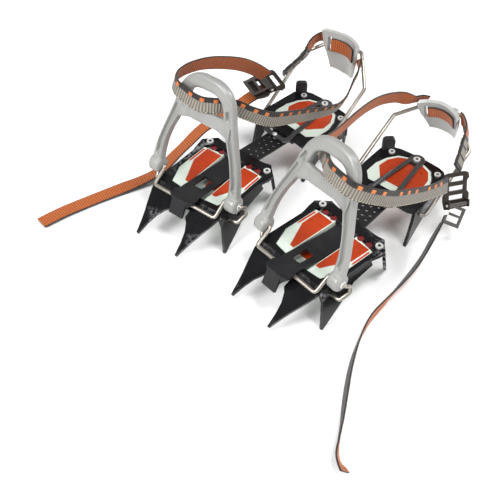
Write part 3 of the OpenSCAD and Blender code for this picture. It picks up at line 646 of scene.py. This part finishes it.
KNUCKLE = (-64.0, 51.0)  # y and z of the knuckles' axis
LEAN = {"left": 21.0, "right": 15.0}  # degrees back from upright
GROOVE_DEPTH = 3.8
GROOVE_FROM, GROOVE_TO = 0.13, 0.70  # shares of the way from a knuckle to the top
RECESS_DEPTH = 0.9
SKIN_VOXEL = 0.6
HARNESS_BAND = [  # outer edge, inner edge, half depth
    ((50.3, -5.5), (39.7, -5.5), 4.4), ((50.5, 0), (39.5, 0), 4.9), ((50, 10), (39.5, 10), 4.9),
    ((47.5, 24), (38.3, 24), 4.9), ((43, 40), (34.6, 39), 5.0), ((38, 56), (29.0, 53), 5.0),
    ((33.4, 72), (23.6, 66), 5.0), ((30.2, 86), (20.4, 79), 5.0), ((26, 95), (17.6, 87), 5.0),
    ((19, 102), (12.6, 91.2), 5.0), ((10, 105.5), (6.6, 92.8), 5.0), ((0, 106), (0, 93), 5.0),
]
HARNESS_BRIDGE = [  # top edge, lower edge, half depth
    ((30, 76), (30, 55), 3.4), ((24, 76), (24, 58.5), 3.5), ((15, 74.2), (16, 61), 3.6),
    ((7, 74), (8, 61), 3.7), ((0, 74), (0, 61), 3.7),
]


def spline(rows, per=10):
    rows = np.array(rows, float)
    ends = np.vstack([2 * rows[0] - rows[1], rows, 2 * rows[-1] - rows[-2]])
    out = []
    for i in range(len(rows) - 1):
        for t in np.linspace(0, 1, per, endpoint=False):
            a = curve_weights(t)
            out.append(a @ ends[i : i + 4])
    out.append(rows[-1])
    return np.array(out)


def ring_mesh(rings, name, closed=False):
    """A skin through rings of the same number of points: capped at both ends, or closed on itself."""
    n, m = len(rings[0]), len(rings)
    verts = [tuple(v) for ring in rings for v in ring]
    faces = [
        (i * n + k, i * n + (k + 1) % n, (i + 1) % m * n + (k + 1) % n, (i + 1) % m * n + k)
        for i in range(m if closed else m - 1)
        for k in range(n)
    ]
    if not closed:
        faces += [tuple(range(n - 1, -1, -1)), tuple((m - 1) * n + k for k in range(n))]
    mesh = bpy.data.meshes.new(name)
    mesh.from_pydata(verts, [], faces)
    obj = linked(name, mesh)
    fix_normals(obj)
    return obj


def band_rings(rows, groove=None, power=3.4, count=40):
    """Rings between two edges, with a rounded section; groove(u, across) digs into the front."""
    half = [(*o, *i, d) for o, i, d in rows]
    other = [(-o[0], o[1], -i[0], i[1], d) for o, i, d in rows[-2::-1]]
    dense = spline(half + other)
    rings = []
    for k, (ox, oy, ix, iy, depth) in enumerate(dense):
        u = k / (len(dense) - 1)
        ring = []
        for q in range(count):
            w = 2 * math.pi * (q + 0.5) / count
            cx = math.copysign(abs(math.cos(w)) ** (2 / power), math.cos(w))
            cz = math.copysign(abs(math.sin(w)) ** (2 / power), math.sin(w))
            deep = depth * cz
            if groove and cz < 0:
                deep += groove(u, cx)
            t = (1 + cx) / 2
            ring.append((ix + (ox - ix) * t, deep, iy + (oy - iy) * t))
        rings.append(ring)
    return rings


def leg_groove(u, across):
    """A channel along the front of each leg, closing to a V above the knuckle."""
    s = min(u, 1 - u) * 2
    if s < GROOVE_FROM or s > GROOVE_TO:
        return 0.0
    wide = 0.58 * min(1.0, (s - GROOVE_FROM) / 0.16) * min(1.0, (GROOVE_TO - s) / 0.12)
    if wide <= 0:
        return 0.0
    return GROOVE_DEPTH * max(0.0, 1 - (abs(across) / wide) ** 6) if abs(across) < wide else 0.0


def bridge_recess(u, across):
    """A blank recessed panel across the bridge."""
    s = abs(2 * u - 1)
    return RECESS_DEPTH if s < 0.55 and abs(across) < 0.62 else 0.0


def merged(objects, name, voxel, smooth):
    """One skin over several overlapping solids, as a moulding has."""
    bpy.ops.object.select_all(action="DESELECT")
    for o in objects:
        o.select_set(True)
    bpy.context.view_layer.objects.active = objects[0]
    bpy.ops.object.join()
    obj = bpy.context.view_layer.objects.active
    obj.name = name
    remesh = obj.modifiers.new("skin", "REMESH")
    remesh.mode = "VOXEL"
    remesh.voxel_size = voxel * MM
    soften = obj.modifiers.new("soften", "SMOOTH")
    soften.factor = 0.5
    soften.iterations = smooth
    graph = bpy.context.evaluated_depsgraph_get()
    mesh = bpy.data.meshes.new_from_object(obj.evaluated_get(graph))
    obj.modifiers.clear()
    obj.data = mesh
    mesh.name = name
    for polygon in mesh.polygons:
        polygon.use_smooth = True
    return obj


def tilted(side, x, deep, up):
    """A harness point to the row frame: across, depth (front is negative) and height up the lean."""
    lean = math.radians(LEAN[side])
    y = KNUCKLE[0] + up * math.sin(lean) + deep * math.cos(lean)
    z = KNUCKLE[1] + up * math.cos(lean) - deep * math.sin(lean)
    return row_point(side, (x, y, z))


KNUCKLE_PROFILE = [  # across, radius
    (38.6, 0.2), (38.8, 4.6), (39.2, 6.6), (40.2, 7.8), (41.6, 8.4), (43.5, 8.5), (47.5, 8.5),
    (49.4, 8.3), (50.7, 7.5), (51.6, 6.0), (52.1, 3.6), (52.2, 0.2),
]

for side in ("left", "right"):
    solids = [
        ring_mesh(band_rings(HARNESS_BAND, leg_groove), "band"),
        ring_mesh(band_rings(HARNESS_BRIDGE, bridge_recess, 4.0), "bridge"),
    ]
    for sign in (1, -1):
        rings = [
            [(sign * x, r * math.cos(math.pi * q / 16), r * math.sin(math.pi * q / 16)) for q in range(32)]
            for x, r in KNUCKLE_PROFILE
        ]
        solids.append(ring_mesh(rings, "knuckle"))
    for o in solids:
        for v in o.data.vertices:
            v.co = Vector(tilted(side, *v.co))
    shell = merged(solids, f"{side}_harness_shell", SKIN_VOXEL, 2)
    shell.data.materials.clear()
    shell.data.materials.append(HARNESS)
    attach(shell, f"{side}_harness")
    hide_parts(f"{side}_toe_harness")


# ---- Small parts on the frames ----

# As in the CAD: the heel wire's pivot and arm, its angle and the cup's tilt in degrees, how far back
# the heel section stands, and the turn of the linking bar
WIRE_PIVOT = (-46, 29)
WIRE_ARM = 106
WIRE_ANGLE = {"left": 27.0, "right": 41.0}
CUP_TILT = {"left": 20.0, "right": 0.0}
REACH = {"left": 108.6, "right": 116.2}
BAR_TURN = math.radians(8.5)
BAR_SHIFT = 2
CUP_BAND_RADIUS = 24.9
CUP_BAND_BACK = -32.5
# Orange pad seen through the rear half of the window in the tongue, further back on the right crampon
TONGUE_PAD = [(-12.5, -40), (4, -40), (4, -53.5), (-12.5, -53.5)]
TONGUE_PAD_BACK = {"left": 0, "right": 8}


def cup_place(side, p, way):
    """A point and a direction in the heel cup's own frame to a route row in the crampon's frame."""
    t, a = math.radians(CUP_TILT[side]), math.radians(WIRE_ANGLE[side])
    row = []
    for v, is_point in ((p, 1), (way, 0)):
        x, y, z = v
        y, z = y * math.cos(t) - z * math.sin(t), y * math.sin(t) + z * math.cos(t)
        y += is_point * (WIRE_PIVOT[0] + WIRE_ARM * math.cos(a) + REACH[side])
        z += is_point * (WIRE_PIVOT[1] + WIRE_ARM * math.sin(a))
        c, q = math.cos(BAR_TURN), math.sin(BAR_TURN)
        row += [c * x - q * y - BAR_SHIFT * is_point, q * x + c * y, z]
    return row


def solid(name, outline, low, high, look, body, place, chamfer=0.15):
    """Upright prism with a small chamfer. place maps x, y, z in mm to the row frame."""
    pts = np.array(outline, float)
    mid = pts.mean(0)
    reach = np.abs(pts - mid).max()
    levels = [(low, 1.0), (high - chamfer, 1.0), (high, 1 - chamfer / reach)]
    verts, faces, n = [], [], len(pts)
    for z, q in levels:
        verts += [tuple(place(*(mid + (p - mid) * q), z)) for p in pts]
    for i in range(len(levels) - 1):
        a, b = i * n, (i + 1) * n
        faces += [(a + k, a + (k + 1) % n, b + (k + 1) % n, b + k) for k in range(n)]
    faces += [tuple(range(n - 1, -1, -1)), tuple((len(levels) - 1) * n + k for k in range(n))]
    mesh = bpy.data.meshes.new(name)
    mesh.from_pydata(verts, [], faces)
    mesh.materials.append(look)
    obj = linked(name, mesh)
    fix_normals(obj)
    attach(obj, body)
    return obj


def star(x, y, big, small, lobes=6, count=36):
    """Outline of a six-lobed screw recess."""
    return [
        (x + r * math.cos(w), y + r * math.sin(w))
        for w in np.linspace(0, 2 * math.pi, count, endpoint=False)
        for r in [small + (big - small) * (0.5 + 0.5 * math.cos(lobes * w))]
    ]


# Near-black for the rivets' screw recesses: painted shade, the hollow's shadow given as colour
RECESS_SHADE = plastic("painted_shade_screw_recess", (0.006, 0.006, 0.006), (0.016, 0.016, 0.016), 0.5)
PAD_RED = plastic("pad_red", (0.40, 0.022, 0.006), (0.52, 0.04, 0.010), 0.3, coat=0.2)
FRONT_STRIP = [(32.75, -11), (34.5, -11.2), (34.5, -31), (33.9, -33.5), (33.0, -31.5), (32.75, -29)]

for side in ("left", "right"):
    def here(x, y, z, side=side):
        return row_point(side, (x, y, z))

    # A near-black star-shaped cap on top of each rivet: painted shade standing in for the shaded hollow of
    # its screw recess
    for kind, body in (("front_rivets", "front"), ("heel_rivets", "heel"), ("lever_rivet", "heel")):
        node = f"{side}_{kind}"
        co = np.array([v.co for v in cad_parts[node].data.vertices])
        heads = []
        for p in co[co[:, 2] > co[:, 2].max() - 0.0004]:
            for head in heads:
                if np.linalg.norm(np.mean(head, 0)[:2] - p[:2]) < 0.008:
                    head.append(p)
                    break
            else:
                heads.append([p])
        for k, head in enumerate(heads):
            spot = (np.min(head, 0) + np.max(head, 0)) / 2
            top = spot[2] / MM
            size = 2.0 if body == "front" else 1.7
            outline = star(spot[0] / MM, spot[1] / MM, size, size * 0.66)
            solid(
                f"{node}_recess_shade_{k + 1}", outline, top - 0.2, top + 0.06, RECESS_SHADE, f"{side}_{body}",
                lambda x, y, z: np.array([x, y, z]) * MM, chamfer=0.04,
            )
    # A bright eyelet on each outer knuckle
    for sign in (1, -1):
        rings = [
            [
                (sign * (52.1 + 0.55 * math.cos(w)), radius * math.cos(a), radius * math.sin(a))
                for w in np.linspace(0, 2 * math.pi, 10, endpoint=False)
                for radius in [2.6 + 0.75 * math.sin(w)]
            ]
            for a in np.linspace(0, 2 * math.pi, 33)[:-1]
        ]
        eyelet = ring_mesh(rings, f"{side}_eyelet_{'a' if sign > 0 else 'b'}", closed=True)
        for v in eyelet.data.vertices:
            v.co = Vector(tilted(side, *v.co))
        eyelet.data.materials.append(RIVET)
        for polygon in eyelet.data.polygons:
            polygon.use_smooth = True
        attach(eyelet, f"{side}_harness")

    pad = [(x, y + TONGUE_PAD_BACK[side]) for x, y in TONGUE_PAD]
    solid(f"{side}_tongue_pad", pad, 31.4, 32.1, ORANGE_PANEL, f"{side}_front", here)

    # Strap through the heel cup
    rows = []
    for a in np.linspace(-35, 35, 9):
        w = math.radians(a)
        point = (CUP_BAND_RADIUS * math.sin(w), CUP_BAND_BACK + CUP_BAND_RADIUS * math.cos(w), 0)
        rows.append(cup_place(side, point, (-math.sin(w), -math.cos(w), 0)))
    band, _, _, _ = tape(f"{side}_cup_band", side, rows, HEEL_LOOKS, rib=(2.4, 0.15))
    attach(band, f"{side}_cup")
    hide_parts(f"{side}_cup_strap")

    # A narrow red strip beside each front panel
    for sign in (1, -1):
        name = f"{side}_pad_strip_{'a' if sign > 0 else 'b'}"
        outline = [(sign * x, y) for x, y in FRONT_STRIP]
        solid(name, outline, 38.4, 38.95, PAD_RED, f"{side}_front", here)


# ---- Floor, lights, world ----

floor_mesh = bpy.data.meshes.new("floor")
floor_mesh.from_pydata([(-4, -4, 0), (4, -4, 0), (4, 4, 0), (-4, 4, 0)], [], [(0, 1, 2, 3)])
floor = linked("floor", floor_mesh)
floor.location.z = -0.0004
floor_look = Nodes("pale_floor")
floor_tone = floor_look.mix(floor_look.noise(3.0), (0.90, 0.90, 0.90), (0.93, 0.93, 0.93))
floor_look.set(Base_Color=floor_tone, Roughness=0.9)
floor_mesh.materials.append(floor_look.mat)


def soft_light(name, at, aim, size, power):
    data = bpy.data.lights.new(name, "AREA")
    data.shape = "DISK"
    data.size = size
    data.energy = power
    lamp = linked(name, data)
    lamp.location = at
    lamp.rotation_euler = (Vector(aim) - Vector(at)).to_track_quat("-Z", "Y").to_euler()


soft_light("key", (-0.15, -1.5, 1.25), (0, 0, 0.03), 0.9, 34.0)
soft_light("top", (0.5, 0.15, 1.7), (0, 0, 0.03), 0.6, 20.0)
soft_light("side", (1.5, -0.2, 0.8), (0, 0, 0.05), 0.7, 9.0)
soft_light("rim", (0.5, 1.5, 0.9), (0, 0, 0.05), 0.6, 9.0)

world = bpy.data.worlds.new("studio")
world.use_nodes = True
world.node_tree.nodes["Background"].inputs[0].default_value = (1.0, 1.0, 1.0, 1.0)
world.node_tree.nodes["Background"].inputs[1].default_value = 0.34
bpy.context.scene.world = world
